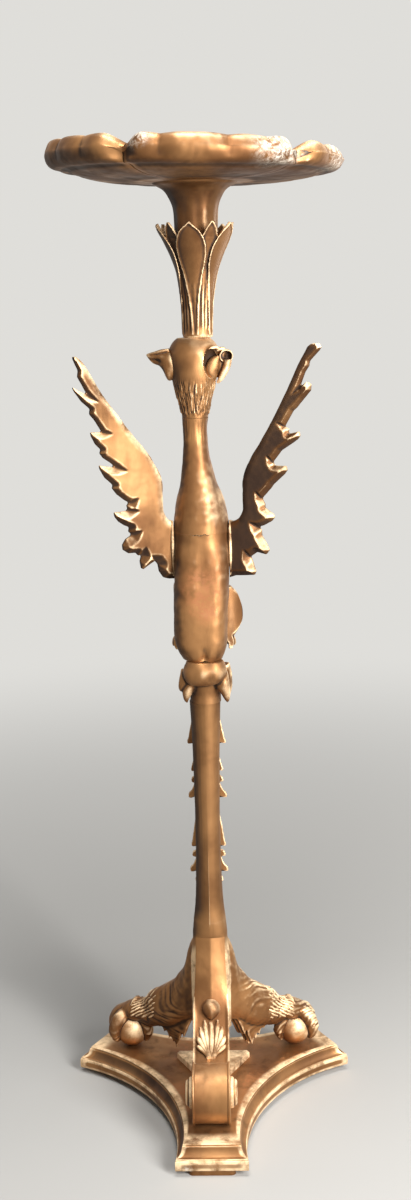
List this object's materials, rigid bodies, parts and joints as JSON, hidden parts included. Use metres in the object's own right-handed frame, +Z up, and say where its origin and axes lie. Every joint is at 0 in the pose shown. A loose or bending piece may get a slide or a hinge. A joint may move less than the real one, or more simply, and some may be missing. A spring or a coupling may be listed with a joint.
{
  "type": "vase stand",
  "caption": "Tall gilt-wood vase stand: a carved winged beast on a slender column with clawed and rolled feet on a hollow-sided plinth, under a dished petal top.",
  "frame": {"origin": "on the floor, on the axis of the column", "axes": "+Z up; the rolled foot points to -Y, which is the side the picture shows, and the beast faces +Y"},
  "size_m": [0.3688, 0.3622, 1.2267],
  "materials": {
    "gilt_wood": "antique gilding, rubbed, with dark toning in the hollows",
    "worn_gilt_wood": "gilding worn through to red bole",
    "bare_wood": "bare",
    "screw_steel": "dull"
  },
  "bodies": {
    "root": {"pad_foot_front": "worn_gilt_wood", "pad_foot_right": "worn_gilt_wood", "pad_foot_left": "worn_gilt_wood", "plinth_board": "worn_gilt_wood", "plinth_moulding": "gilt_wood", "plinth_screws": "screw_steel", "foot_screws": "screw_steel", "centre_block": "gilt_wood", "leg_left": "gilt_wood", "leg_right": "gilt_wood", "scroll_leg": "gilt_wood", "scroll_leaf": "gilt_wood", "scroll_bead": "gilt_wood", "scroll_boss_left": "gilt_wood", "scroll_boss_right": "gilt_wood", "column_shaft": "gilt_wood", "leg_dowels": "bare_wood", "husk_upper": "gilt_wood", "husk_lower": "gilt_wood", "capital": "gilt_wood", "capital_dowel": "bare_wood", "body_block": "gilt_wood", "haunch_left": "gilt_wood", "haunch_right": "gilt_wood", "wing_left": "gilt_wood", "wing_right": "gilt_wood", "wing_dowels": "bare_wood", "neck_dowel": "bare_wood", "neck_block": "gilt_wood", "head_dowel": "bare_wood", "head": "gilt_wood", "ear_left": "gilt_wood", "ear_right": "gilt_wood", "muzzle": "gilt_wood", "stem_dowel": "bare_wood", "fluted_stem": "gilt_wood", "hub_dowel": "bare_wood", "top_hub": "gilt_wood", "petal_pegs": "bare_wood", "petal_front": "gilt_wood", "petal_right": "gilt_wood", "petal_back_right": "gilt_wood", "petal_back_left": "gilt_wood", "petal_left": "gilt_wood"}
  },
  "joints": []
}
